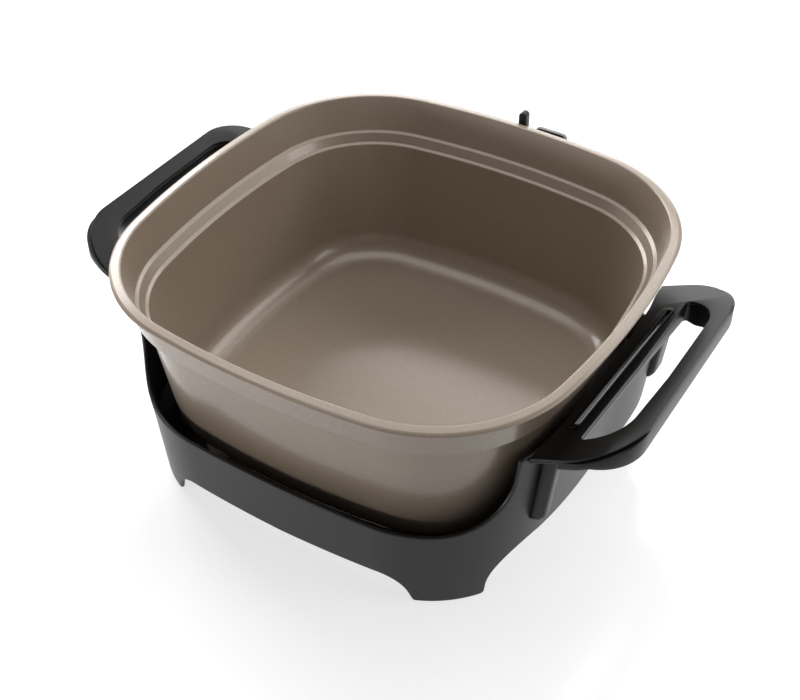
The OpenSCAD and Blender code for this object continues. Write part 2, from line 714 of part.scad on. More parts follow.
module hinge_leaf() color("#757575") difference() {
    union() {
        translate([leaf_x, pin_y, pin_z]) rotate([0, 90, 0])
            cylinder(r = knuckle_r - barrel_gap, h = leaf_w);
        along_y(leaf_y, leaf_y + leaf_t) translate([leaf_x, pin_z]) {
            square([leaf_w, leaf_h - leaf_corner_r]);
            translate([leaf_corner_r, 0]) square([leaf_w - 2 * leaf_corner_r, leaf_h]);
            for (x = [leaf_corner_r, leaf_w - leaf_corner_r]) translate([x, leaf_h - leaf_corner_r])
                circle(leaf_corner_r);
        }
    }
    translate([leaf_x - past, pin_y, pin_z]) rotate([0, 90, 0])
        cylinder(r = pin_r + pivot_clearance, h = leaf_w + 2 * past);
}

placed() pot();
placed() heating_element();
placed() terminal_pins();
placed() terminal_bushes();
placed() terminal_guard();
placed() guard_screws();
placed() probe_sleeve();
placed() base_frame();
placed() port_trim();
placed() heat_shield();
placed() shield_screws();
placed() rest_pads();
placed() foot_pads();
placed() handle_right();
placed() handle_left();
placed() grip_shell_right();
placed() grip_shell_left();
placed() handle_bolts();
placed() grip_screws();
placed() hinge_bracket();
placed() hinge_screws();
placed() hinge_pin();
placed() pin_clip();
placed() hinge_leaf();
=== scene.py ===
"""Looks of the electric roaster: a coated square pot in a black legged base with two
sloping loop handles and a rear lid hinge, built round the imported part."""

import math

import bmesh
import bpy
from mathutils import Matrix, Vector


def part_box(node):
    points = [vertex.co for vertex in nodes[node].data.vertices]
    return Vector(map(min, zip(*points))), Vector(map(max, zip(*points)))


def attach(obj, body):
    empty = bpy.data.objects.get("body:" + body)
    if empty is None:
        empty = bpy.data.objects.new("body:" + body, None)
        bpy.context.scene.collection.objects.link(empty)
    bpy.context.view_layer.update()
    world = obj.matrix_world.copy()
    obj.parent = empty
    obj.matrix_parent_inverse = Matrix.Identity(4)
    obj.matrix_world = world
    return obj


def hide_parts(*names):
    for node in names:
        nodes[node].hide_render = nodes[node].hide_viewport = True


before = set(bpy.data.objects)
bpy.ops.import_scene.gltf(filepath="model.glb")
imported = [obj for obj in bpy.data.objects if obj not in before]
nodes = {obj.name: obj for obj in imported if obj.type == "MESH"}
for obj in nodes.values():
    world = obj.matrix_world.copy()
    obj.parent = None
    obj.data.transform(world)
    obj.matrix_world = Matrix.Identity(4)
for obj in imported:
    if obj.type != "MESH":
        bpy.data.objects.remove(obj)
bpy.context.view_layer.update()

# Sizes below are millimetres, counted from the pot's axis on the table
MM = 0.001
POT_LOW, POT_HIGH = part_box("pot")
AXIS_Y = (POT_LOW.y + POT_HIGH.y) / 2 / MM

# Pot: corner arcs, how far the bowed sides turn, half its width, its heights, and its flat middle
POT_CORNER_AT = 57.3
POT_CORNER_R = 91.3
POT_TURN = math.radians(7.75)
POT_HALF = 152.5
POT_TOP_Z = POT_HIGH.z / MM
POT_BOTTOM_Z = 36.0
POT_FLOOR_Z = 39.2
POT_MIDDLE = 76.0

# Base: corner arcs and turn of its wall at the table, the wall's lean and thickness, and its heights
BASE_CORNER_AT = 56.46
BASE_CORNER_R = 75.0
BASE_TURN = math.radians(4.14)
BASE_LEAN = 0.0876
BASE_WALL = 2.8
FRONT_TOP_Z = 59.7
SEAT_Z = 111.6
FOOT_Z = 1.4
SIDE_ARCH_Z = 26.3
SIDE_ARCH_BOW = 0.00188

# Base: how much the side walls widen to the rear, and how the left one leans out above a height
SPREAD = 0.046
SPREAD_END_Y = 66.0
LEFT_FLARE = 0.07
FLARE_Z = 48.0

# Base: plug port on the left, with the height at which its half width is taken
PORT_HALF = 30.0
PORT_Z = 40.0
PORT_TOP_Z = 46.0

# Base: depth of the inner flange at the sides, what the corners add, and how it passes over the port
# The flange is also a dark sheet that stands for the shade under the base; the corners' extra depth is only
# that
FLANGE_DEEP = 17.6
FLANGE_SHADE_CORNER = 44.0
FLANGE_TIP_Z = 32.9
PORT_FLANGE_DEEP = 12.0
PORT_FLANGE_RISE = 11.5

# Base: side fins, with what the rear ones have more, and the rear tower
FIN_FROM, FIN_TO = 68.0, 77.0
FIN_X = 146.6
FIN_BOTTOM_Z = 52.0
REAR_FIN_MORE = 6.5
TOWER_FROM, TOWER_TO = -8.0, 40.1
TOWER_NEAR_Y, TOWER_FAR_Y = 147.5, 154.5
TOWER_TOP_Z = 124.0

# Handles: straight outer edge, corners of plate and shell, and the plane of the sloping top
EDGE_X = 188.7
HANDLE_HALF = 88.5
PLATE_CORNER_R = 36.0
SHELL_CORNER_R = 29.5
HANDLE_SLOPE = math.tan(math.radians(24.5))
HANDLE_TOP_X = 187.0
HANDLE_TOP_Z = 135.5

# Handles: plate, thicker where it sits on the base, and the rearward lean of its slot
PLATE_T = 2.2
SEAT_T = 3.85
SEAT_END_X, PLATE_FROM_X = 145.0, 157.0
SPLAY = 0.042

# Handles: shell, its parting groove and depth, and its rear arm that reaches down to the collar
SHELL_X = 151.8
SHELL_GROOVE = 0.05
SHELL_DROP = 6.8
SKIRT_Z = 120.5
COLLAR_Z = 108.5
ARM_FROM_Y, ARM_TO_Y = 26.0, 56.0
ARM_TO_X, ARM_END_X = 164.0, 184.0
SHELL_SPAN = 10.0

# Screws and pads
HEAD_R, HEAD_H, SHAFT_R = 2.8, 2.0, 1.5
REST_PAD_R, REST_PAD_H = 6.5, 4.0
FOOT_PAD_R, FOOT_PAD_H = 8.0, 2.5
PEG_R = 2.0

# Angles in degrees past which an edge is shaded sharp
MOULD_SHARP = 50.0
CAD_SHARP = 40.0
SET_SHARP = 30.0

# Distances in metres at which points are merged and slivers dissolved
MERGE = 1e-6
SLIVER = 1e-7


class Value:
    """A socket of a node tree that arithmetic works on."""

    def __init__(self, tree, socket):
        self.tree = tree
        self.socket = socket

    def math(self, operation, first, second):
        return self.tree.add("ShaderNodeMath", {"operation": operation}, {0: first, 1: second})

    def __add__(self, other):
        return self.math("ADD", self, other)

    def __sub__(self, other):
        return self.math("SUBTRACT", self, other)

    def __rsub__(self, other):
        return self.math("SUBTRACT", other, self)

    def __mul__(self, other):
        return self.math("MULTIPLY", self, other)

    def __truediv__(self, other):
        return self.math("DIVIDE", self, other)

    def __rtruediv__(self, other):
        return self.math("DIVIDE", other, self)

    def __gt__(self, other):
        return self.math("GREATER_THAN", self, other)

    __radd__ = __add__
    __rmul__ = __mul__


class Nodes:
    """A node tree and the nodes that are added to it."""

    def __init__(self, tree):
        self.tree = tree
        tree.nodes.clear()

    def add(self, kind, settings=None, sockets=None, out=0):
        """Adds a node, sets it up, fills its sockets with numbers or links, and gives its outputs."""
        node = self.tree.nodes.new(kind)
        for key, value in (settings or {}).items():
            setattr(node, key, value)
        for key, value in (sockets or {}).items():
            links = value if isinstance(value, list) else [value]
            for link in links:
                if isinstance(link, Value):
                    self.tree.links.new(link.socket, node.inputs[key])
                else:
                    node.inputs[key].default_value = link
        if out is None:
            return None
        if isinstance(out, tuple):
            return tuple(Value(self, node.outputs[o]) for o in out)
        return Value(self, node.outputs[out])


class Finish(Nodes):
    """A material's nodes."""

    def __init__(self, name):
        self.material = bpy.data.materials.new(name)
        self.material.use_nodes = True
        super().__init__(self.material.node_tree)

    def surface(self, sockets):
        """Ends the material in one principled shader."""
        shader = self.add("ShaderNodeBsdfPrincipled", None, sockets)
        self.add("ShaderNodeOutputMaterial", None, {"Surface": shader}, None)
        return self.material

    def place(self):
        return self.add("ShaderNodeTexCoord", None, None, "Object")

    def noise(self, where, scale, detail=2.0, rough=0.5):
        sockets = {"Vector": where, "Scale": scale, "Detail": detail, "Roughness": rough}
        return self.add("ShaderNodeTexNoise", None, sockets, "Fac")

    def blend(self, share, dark, light):
        """Colour between two display colours by a share from 0 to 1."""
        settings = {"data_type": "RGBA", "clamp_factor": True}
        return self.add("ShaderNodeMix", settings, {0: share, 6: linear(dark), 7: linear(light)}, 2)

    def bump(self, height, strength, distance):
        sockets = {"Height": height, "Strength": strength, "Distance": distance}
        return self.add("ShaderNodeBump", None, sockets, "Normal")


def linear(code):
    """Linear colour of a hexadecimal display colour."""
    parts = [int(code[i:i + 2], 16) / 255 for i in (1, 3, 5)]
    return (*[p / 12.92 if p <= 0.04045 else ((p + 0.055) / 1.055) ** 2.4 for p in parts], 1.0)


# Finishes


def coated_metal():
    """Satin taupe non-stick coating: fine orange peel, faint clouds, and small flakes whose pale colour is
    painted sparkle.
    """
    f = Finish("pot_coating")
    where = f.place()
    grain = f.noise(where, scale=1500.0, rough=0.6)
    cloud = f.noise(where, scale=11.0, detail=3.0)
    # Small flakes in the coating: they are a little glossier, and their pale tint in the base colour is
    # painted sparkle
    flake_sparkle_cells = f.add("ShaderNodeTexVoronoi", {"feature": "F1"}, {"Vector": where, "Scale": 1100.0}, "Color")
    sparkle_flakes = f.add("ShaderNodeSeparateColor", None, {"Color": flake_sparkle_cells}, "Red") > 0.9
    return f.surface({
        "Base Color": f.blend(grain * 0.4 + cloud * 0.4 + sparkle_flakes * 0.35, "#897a6a", "#998a7a"),
        "Roughness": 0.37 + grain * 0.08 - sparkle_flakes * 0.08,
        "Metallic": 0.15,
        "Specular IOR Level": 0.5,
        "Coat Weight": 0.52 + cloud * 0.1,
        "Coat Roughness": 0.15,
        "Normal": f.bump(grain, strength=0.05, distance=0.0002),
    })


def moulded_plastic(name, dark, light, rough, shine):
    """Black plastic with a fine moulded texture."""
    f = Finish(name)
    where = f.place()
    grain = f.noise(where, scale=1400.0)
    cloud = f.noise(where, scale=30.0)
    return f.surface({
        "Base Color": f.blend(cloud * 0.6 + grain * 0.4, dark, light),
        "Roughness": rough + grain * 0.08 + cloud * 0.05 - 0.06,
        "Specular IOR Level": shine,
        "Normal": f.bump(grain, strength=0.05, distance=0.0002),
    })


def brushed_metal(name, dark, light, rough, stretch):
    """Bare metal with drawn lines along one direction and slight stains."""
    f = Finish(name)
    where = f.place()
    lined = f.add("ShaderNodeMapping", None, {"Vector": where, "Scale": stretch})
    lines = f.noise(lined, scale=260.0, detail=3.0, rough=0.6)
    stain = f.noise(where, scale=60.0, detail=4.0)
    return f.surface({
        "Base Color": f.blend(lines * 0.5 + stain * 0.5, dark, light),
        "Metallic": 1.0,
        "Roughness": rough + lines * 0.12 - 0.06,
        "Normal": f.bump(lines, strength=0.08, distance=0.0001),
    })


def soft_pad(name, dark, light):
    """Rubber or silicone with a dusty surface."""
    f = Finish(name)
    dust = f.noise(f.place(), scale=500.0, detail=4.0, rough=0.7)
    return f.surface({
        "Base Color": f.blend(dust, dark, light),
        "Roughness": 0.72 + dust * 0.12,
        "Normal": f.bump(dust, strength=0.15, distance=0.0003),
    })


def fired_ceramic():
    """White bush with small pits."""
    f = Finish("fired_ceramic")
    pits = f.noise(f.place(), scale=700.0, detail=3.0)
    return f.surface({
        "Base Color": f.blend(pits, "#cfc8ba", "#ece7dc"),
        "Roughness": 0.45 + pits * 0.2,
        "Normal": f.bump(pits, strength=0.12, distance=0.0002),
    })


COATING = coated_metal()
BASE_PLASTIC = moulded_plastic("base_plastic", "#0c0c0c", "#131313", rough=0.36, shine=0.34)
HANDLE_PLASTIC = moulded_plastic("handle_plastic", "#0e0e0e", "#161616", rough=0.34, shine=0.27)
LEAF_METAL = brushed_metal("leaf_metal", "#5c5c5c", "#7c7c7c", rough=0.42, stretch=(0.1, 1.0, 1.0))
HEATER_STEEL = brushed_metal("heater_steel", "#46413d", "#6b625b", rough=0.55, stretch=(1.0, 1.0, 1.0))
BRIGHT_STEEL = brushed_metal("bright_steel", "#b9b9b4", "#d4d4cf", rough=0.28, stretch=(0.1, 1.0, 1.0))
SCREW_STEEL = brushed_metal("screw_steel", "#8c8c89", "#b0b0ac", rough=0.34, stretch=(1.0, 1.0, 0.3))
SHEET_METAL = brushed_metal("sheet_metal", "#9b9b98", "#bcbcb8", rough=0.38, stretch=(1.0, 0.08, 1.0))
CERAMIC = fired_ceramic()
SILICONE = soft_pad("silicone", "#b08f77", "#c7a58c")
FOOT_RUBBER = soft_pad("foot_rubber", "#161616", "#2a2a2a")

# Outlines and profiles


def ramp(value, first, last):
    """Share from 0 to 1 of the way from a first value to a last one."""
    return min(max((value - first) / (last - first), 0.0), 1.0)


def eased(share):
    """The same share with a smooth start and end."""
    return share * share * (3.0 - 2.0 * share)


def spokes(steps):
    """Cosine and sine of even angles round a circle."""
    turns = [2 * math.pi * k / steps for k in range(steps)]
    return [(math.cos(a), math.sin(a)) for a in turns]


def arc_points(centre, radius, first, last, steps):
    """Points of an arc between two angles in degrees."""
    line = []
    for k in range(steps + 1):
        a = math.radians(first + (last - first) * k / steps)
        line.append((centre[0] + radius * math.cos(a), centre[1] + radius * math.sin(a)))
    return line


def rounded(points, closed=False, steps=6):
    """Polyline through (u, v, radius) points, each corner turned with its radius."""
    line = []
    count = len(points)
    for i, (u, v, radius) in enumerate(points):
        if radius == 0 or (not closed and i in (0, count - 1)):
            line.append((u, v))
            continue
        here = Vector((u, v))
        to_last = (Vector(points[i - 1][:2]) - here).normalized()
        to_next = (Vector(points[(i + 1) % count][:2]) - here).normalized()
        half = to_last.angle(to_next) / 2
        centre = here + (to_last + to_next).normalized() * (radius / math.sin(half))
        start = here + to_last * (radius / math.tan(half)) - centre
        end = here + to_next * (radius / math.tan(half)) - centre
        first = math.atan2(start.y, start.x)
        turn = (math.atan2(end.y, end.x) - first + math.pi) % (2 * math.pi) - math.pi
        for k in range(steps + 1):
            a = first + turn * k / steps
            line.append((centre.x + radius * math.cos(a), centre.y + radius * math.sin(a)))
    return line


def bowed_quarter(corner_at, corner_r, turn):
    """Arcs of a bowed square from the middle of the right side to that of the next, as
    (centre, radius, first angle, last angle)."""
    side_r = corner_at / math.sin(turn) + corner_r
    side_at = corner_at + corner_r * math.cos(turn) - side_r * math.cos(turn)
    return [
        ((side_at, 0.0), side_r, 0.0, turn),
        ((corner_at, corner_at), corner_r, turn, math.pi / 2 - turn),
        ((0.0, side_at), side_r, math.pi / 2 - turn, math.pi / 2),
    ]


def arc_place(arc, angle):
    """Point and outward direction of an arc at an angle."""
    (x, y), radius, _, _ = arc
    way = (math.cos(angle), math.sin(angle))
    return (x + radius * way[0], y + radius * way[1]), way


def bowed_place(arcs, along):
    """Point and outward direction at a length along a quarter."""
    for arc in arcs:
        _, radius, first, last = arc
        length = radius * (last - first)
        if along <= length or arc is arcs[-1]:
            return arc_place(arc, first + along / radius)
        along -= length


def bowed_line(arcs, side_steps, corner_steps):
    """Points and outward directions round the whole bowed square."""
    quarter = []
    for arc, steps in zip(arcs, (side_steps, corner_steps, side_steps)):
        _, _, first, last = arc
        quarter += [arc_place(arc, first + (last - first) * k / steps) for k in range(steps)]
    line = []
    for c, s in ((1, 0), (0, 1), (-1, 0), (0, -1)):
        for (x, y), (nx, ny) in quarter:
            line.append(((x * c - y * s, x * s + y * c), (nx * c - ny * s, nx * s + ny * c)))
    return line


# Meshes


def linked(name, data):
    """New object in the scene."""
    obj = bpy.data.objects.new(name, data)
    bpy.context.scene.collection.objects.link(obj)
    return obj


def evaluated(obj):
    """Plain mesh of what an object's curve or modifier makes."""
    bpy.context.view_layer.update()
    return bpy.data.meshes.new_from_object(obj.evaluated_get(bpy.context.evaluated_depsgraph_get()))


def in_metres(x, y, z):
    """Place in the CAD frame of a point counted from the pot's axis."""
    return (x * MM, (y + AXIS_Y) * MM, z * MM)


class Shape:
    """Points in millimetres and faces that gather into one mesh."""

    def __init__(self):
        self.points = []
        self.faces = []
        self.flat = set()

    def put(self, points, faces):
        start = len(self.points)
        self.points.extend(points)
        self.faces.extend([[start + i for i in face] for face in faces])

    def grid(self, rows, close_rows=False, close_columns=False):
        """Faces between rows of points that all have the same count."""
        wide = len(rows[0])
        faces = []
        for r in range(len(rows) if close_rows else len(rows) - 1):
            for c in range(wide if close_columns else wide - 1):
                a, b = r * wide + c, r * wide + (c + 1) % wide
                up = (r + 1) % len(rows) * wide
                faces.append((a, b, up + (c + 1) % wide, up + c))
        self.put([p for row in rows for p in row], faces)

    def cap(self, ring, centre):
        """Faces from a ring to a point in its middle, by way of two smaller rings."""
        rows = []
        for share in (1.0, 0.6, 0.25):
            rows.append([tuple(m + (p - m) * share for p, m in zip(point, centre)) for point in ring])
        self.grid(rows, close_columns=True)
        count = len(ring)
        self.put([*rows[-1], centre], [(i, (i + 1) % count, count) for i in range(count)])

    def lathe(self, at, profile, steps=40):
        """Turned solid round an upright axis, from a profile of (radius, height) points."""
        rows = []
        for radius, z in profile:
            rows.append([(at[0] + radius * c, at[1] + radius * s, z) for c, s in spokes(steps)])
        self.grid(rows, close_columns=True)

    def plate(self, outer, holes, low, high, edge, place, flat=True):
        """Plate with rounded edges, from an outline and its holes, moved by a function. Its two
        faces are shaded flat or smooth."""
        curve = bpy.data.curves.new("outline", "CURVE")
        curve.dimensions = "2D"
        curve.fill_mode = "BOTH"
        curve.bevel_depth = edge
        curve.bevel_resolution = 2
        curve.offset = -edge
        curve.extrude = (high - low) / 2 - edge
        for loop in [outer, *holes]:
            spline = curve.splines.new("POLY")
            spline.points.add(len(loop) - 1)
            for point, (u, v) in zip(spline.points, loop):
                point.co = (u, v, 0.0, 1.0)
            spline.use_cyclic_u = True
        holder = linked("outline", curve)
        made = evaluated(holder)
        middle = (low + high) / 2
        points = [place(v.co.x, v.co.y, v.co.z + middle) for v in made.vertices]
        if flat:
            first = len(self.faces)
            self.flat |= {first + i for i, f in enumerate(made.polygons) if abs(f.normal.z) > 0.999}
        self.put(points, [list(f.vertices) for f in made.polygons])
        bpy.data.meshes.remove(made)
        bpy.data.objects.remove(holder)
        bpy.data.curves.remove(curve)

    def tube(self, path, radius, steps=10):
        """Round bead along a closed path."""
        count = len(path)
        path = [Vector(p) for p in path]
        rows = []
        side = Vector((0.0, 0.0, 1.0))
        for i, p in enumerate(path):
            ahead = (path[(i + 1) % count] - path[i - 1]).normalized()
            side = (side - ahead * side.dot(ahead)).normalized()
            other = ahead.cross(side)
            rows.append([tuple(p + side * (radius * c) + other * (radius * s)) for c, s in spokes(steps)])
        # The spokes turn a little on their way round, so the last row joins the nearest ones
        gaps = [(Vector(rows[-1][0]) - Vector(q)).length for q in rows[0]]
        shift = gaps.index(min(gaps))
        rows.append(rows[0][shift:] + rows[0][:shift])
        self.grid(rows, close_columns=True)

    def piece(self, name, material, body, slot, node):
        """The finished object, on its body and in the stead of a CAD node."""
        mesh = bpy.data.meshes.new(name)
        mesh.from_pydata([in_metres(*p) for p in self.points], [], self.faces)
        mesh.polygons.foreach_set("use_smooth", [i not in self.flat for i in range(len(self.faces))])
        work = bmesh.new()
        work.from_mesh(mesh)
        bmesh.ops.remove_doubles(work, verts=work.verts, dist=MERGE)
        bmesh.ops.dissolve_degenerate(work, edges=work.edges, dist=SLIVER)
        bmesh.ops.recalc_face_normals(work, faces=work.faces)
        work.to_mesh(mesh)
        work.free()
        finished(linked(name, mesh), material, body, node, MOULD_SHARP)


def finished(obj, material, body, node, sharp):
    """Gives a shaded mesh object its sharp edges and material, and sets it on its body."""
    obj.data.materials.clear()
    obj.data.materials.append(material)
    obj.data.set_sharp_from_angle(angle=math.radians(sharp))
    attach(obj, body)
    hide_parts(node)


def smoothed(mesh):
    """Shades all faces of a mesh smooth."""
    mesh.polygons.foreach_set("use_smooth", [True] * len(mesh.polygons))


def softened(node, name, material, body, edge):
    """Copy of a CAD node with its edges rounded."""
    obj = linked(name, nodes[node].data.copy())
    work = bmesh.new()
    work.from_mesh(obj.data)
    bmesh.ops.remove_doubles(work, verts=work.verts, dist=MERGE)
    bmesh.ops.dissolve_limit(
        work, angle_limit=math.radians(1.0), use_dissolve_boundaries=False,
        verts=work.verts, edges=work.edges,
    )
    limit = math.radians(CAD_SHARP)
    joined = [e for e in work.edges if len(e.link_faces) == 2]
    creases = [e for e in joined if e.calc_face_angle(0.0) > limit]
    bmesh.ops.bevel(
        work, geom=creases, offset=edge * MM, offset_type="OFFSET", segments=2,
        profile=0.5, affect="EDGES", clamp_overlap=True,
    )
    bmesh.ops.dissolve_degenerate(work, edges=work.edges, dist=SLIVER)
    work.to_mesh(obj.data)
    work.free()
    smoothed(obj.data)
    finished(obj, material, body, node, CAD_SHARP)


# Pot


def pot_bosses(shape):
    """Bosses below the pot, each with a blind bore."""
    low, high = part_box("guard_screws")
    guard_x = (low.x + high.x) / 2 / MM
    root, foot = POT_BOTTOM_Z + 0.4, POT_BOTTOM_Z - 4.0
    bore_r, bore_z = 1.7, foot + 1.0
    edge = 0.5
    for x, y, r in ((guard_x, 24.0, 5.0), (guard_x, -24.0, 5.0), (-66.0, 0.0, 6.0)):
        side = [(0.0, root), (r, root), (r, foot + edge), (r - edge, foot)]
        shape.lathe((x, y), side + [(bore_r, foot), (bore_r, bore_z), (0.0, bore_z)])


def pot_piece():
    """Coated pot with its lip, band, inner ledge and floor, and the bosses below."""
    line = bowed_line(bowed_quarter(POT_CORNER_AT, POT_CORNER_R, POT_TURN), side_steps=14, corner_steps=40)
    inside = [
        (POT_MIDDLE, POT_FLOOR_Z, 0.0), (122.0, POT_FLOOR_Z, 19.0),
        (132.7, 122.2, 1.0), (134.8, 123.3, 1.2), (138.0, 128.4, 1.2), (140.2, 129.5, 1.0),
    ]
    lip = [
        (145.6, POT_TOP_Z, 1.3), (150.4, POT_TOP_Z - 0.8, 3.0), (POT_HALF, POT_TOP_Z - 1.8, 0.9),
        (POT_HALF - 0.2, POT_TOP_Z - 2.8, 0.6), (148.3, POT_TOP_Z - 3.2, 1.4),
    ]
    outside = [
        (142.6, 128.0, 1.6), (135.5, 121.4, 4.0),
        (122.4, POT_BOTTOM_Z, 15.0), (POT_MIDDLE, POT_BOTTOM_Z, 0.0),
    ]
    shape = Shape()
    rows = []
    for w, z in rounded(inside + lip + outside, steps=8):
        off = w - POT_HALF
        rows.append([(x + nx * off, y + ny * off, z) for (x, y), (nx, ny) in line])
    shape.grid(rows, close_columns=True)
    shape.cap(rows[0], (0.0, 0.0, POT_FLOOR_Z))
    shape.cap(rows[-1], (0.0, 0.0, POT_BOTTOM_Z))
    pot_bosses(shape)
    shape.piece("pot_body", COATING, "pot", "pot_coating", "pot")


# Base

BASE_ARCS = bowed_quarter(BASE_CORNER_AT, BASE_CORNER_R, BASE_TURN)
BASE_QUARTER = sum(r * (b - a) for _, r, a, b in BASE_ARCS)
IN_X, IN_Y = 0, 1


def along_for(axis, reach, z):
    """Length along the base's quarter at which the leaning wall reaches a distance on an axis."""
    low, high = 0.0, BASE_QUARTER
    for _ in range(40):
        middle = (low + high) / 2
        point, way = bowed_place(BASE_ARCS, middle)
        here = point[axis] + way[axis] * BASE_LEAN * z
        if (here < reach) == (axis == IN_Y):
            low = middle
        else:
            high = middle
    return (low + high) / 2


def base_edges(sweep_top, sweep_at):
    """Top and bottom edge of the wall over one quarter, as (length along, height) lines."""
    sweep_r, tip_r = 36.0, 1.2
    top = rounded([
        (0.0, SEAT_Z - 1.4, 0.0), (sweep_top, SEAT_Z - 0.4, 1.5),
        (sweep_at, FRONT_TOP_Z, sweep_r), (sweep_at + sweep_r, FRONT_TOP_Z, 0.0),
    ], steps=28)
    bow = [0.0, 8.0, 16.0, 24.0, 32.0, 40.0, 48.0, 56.0, 63.0]
    side = rounded([
        *[(y, SIDE_ARCH_Z + SIDE_ARCH_BOW * y * y, 0.0) for y in bow],
        (68.0, 35.0, 4.0), (99.5, 35.2, 27.0), (99.5, FOOT_Z, tip_r), (104.0, FOOT_Z, 0.0),
    ], steps=18)
    front = rounded([
        (0.0, 20.5, 0.0), (79.5, 22.0, 20.0), (86.8, FOOT_Z, tip_r), (93.0, FOOT_Z, 0.0),
    ], steps=18)
    top_line = [(along_for(IN_Y, y, z), z) for y, z in top] + [(BASE_QUARTER, FRONT_TOP_Z)]
    bottom_line = [(along_for(IN_Y, y, z), z) for y, z in side]
    bottom_line += [(along_for(IN_X, x, z), z) for x, z in reversed(front)]
    return top_line, bottom_line


def level(line, along):
    """Height of an edge line at a length along."""
    for (a, za), (b, zb) in zip(line, line[1:]):
        if along <= b:
            return za if b - a < 1e-9 else za + (zb - za) * (along - a) / (b - a)
    return line[-1][1]


def spread(x, y):
    """Outward stretch of the side walls towards the rear; the left side keeps its port straight."""
    start = 0.0 if x > 0 else PORT_HALF + 4.0
    return 1.0 + SPREAD * eased(ramp(y, start, SPREAD_END_Y))


def wall_columns():
    """Places round the wall as (point, outward direction, bottom height, top height)."""
    front_line, bottom_line = base_edges(sweep_top=92.0, sweep_at=92.8)
    rear_line, _ = base_edges(sweep_top=88.5, sweep_at=105.5)
    port_along = along_for(IN_Y, PORT_HALF, PORT_Z)
    stops = {round(a, 3) for a, _ in front_line + rear_line + bottom_line}
    stops |= {BASE_QUARTER * k / 90 for k in range(91)}
    stops |= {along_for(IN_Y, PORT_HALF + step, PORT_Z) for step in (-0.03, 0.03)}
    stops = sorted(stops)
    stops = [s for i, s in enumerate(stops) if i == 0 or s - stops[i - 1] > 0.02]
    columns = []
    for turn, (sx, sy) in enumerate(((1, 1), (-1, 1), (-1, -1), (1, -1))):
        walk = stops if turn % 2 == 0 else stops[::-1]
        for along in walk[:-1]:
            (x, y), (nx, ny) = bowed_place(BASE_ARCS, along)
            in_port = sx < 0 and along < port_along
            low = PORT_TOP_Z if in_port else level(bottom_line, along)
            high = level(rear_line if sy > 0 else front_line, along)
            wide = spread(sx, y * sy)
            columns.append(((x * sx * wide, y * sy), (nx * sx, ny * sy), low, high))
    return columns


def on_wall(column, z, depth):
    """Point of the leaning wall at a height, set in from its outer face."""
    (x, y), (nx, ny), _, _ = column
    off = BASE_LEAN * z - depth
    flare = LEFT_FLARE * max(z - FLARE_Z, 0.0) * nx * nx if nx < 0.0 else 0.0
    return (x + nx * off - flare, y + ny * off, z)


def wall_reach(y, z, depth):
    """How far the right side of the wall reaches in x at a distance from its middle."""
    off = BASE_LEAN * z - depth
    centre, radius, _, turn = BASE_ARCS[0]
    if abs(y) < (radius + off) * math.sin(turn):
        return centre[0] + math.sqrt((radius + off) ** 2 - y * y)
    corner = BASE_CORNER_R + off
    return BASE_CORNER_AT + math.sqrt(corner ** 2 - (abs(y) - BASE_CORNER_AT) ** 2)


def wall_shell(shape, columns):
    """Leaning wall with its swept top edge, arches and feet, and beads along both edges."""
    steps, half = 10, BASE_WALL / 2
    rows = []
    for column in columns:
        _, _, low, high = column
        heights = [low + (high - low) * k / steps for k in range(steps + 1)]
        outer = [on_wall(column, z, 0.0) for z in heights]
        inner = [on_wall(column, z, BASE_WALL) for z in reversed(heights)]
        rows.append(outer + inner)
    shape.grid(rows, close_rows=True, close_columns=True)
    shape.tube([on_wall(column, column[3], half) for column in columns], half)
    shape.tube([on_wall(column, column[2], half) for column in columns], half)


def wall_flange(shape, columns):
    """Flange below the pot's sides, which steps up over the plug port. It is also a dark sheet that stands
    for the shade under the base, most of all at the deeper corners.
    """
    root = 1.0
    rows = []
    for column in columns:
        _, (nx, ny), low, _ = column
        # The extra depth at the corners is a dark sheet in place of the shade under the base
        rise, deep = 0.0, FLANGE_DEEP + FLANGE_SHADE_CORNER * (nx * ny) ** 2
        if low == PORT_TOP_Z:
            rise, deep = PORT_FLANGE_RISE, PORT_FLANGE_DEEP
        section = [
            (root, FLANGE_TIP_Z + 3.5), (deep - 0.2, FLANGE_TIP_Z - 0.3), (deep, FLANGE_TIP_Z),
            (deep - 0.2, FLANGE_TIP_Z + 0.3), (root, FLANGE_TIP_Z + 5.5),
        ]
        rows.append([on_wall(column, z + rise, depth) for depth, z in section])
    shape.grid(rows, close_rows=True, close_columns=True)


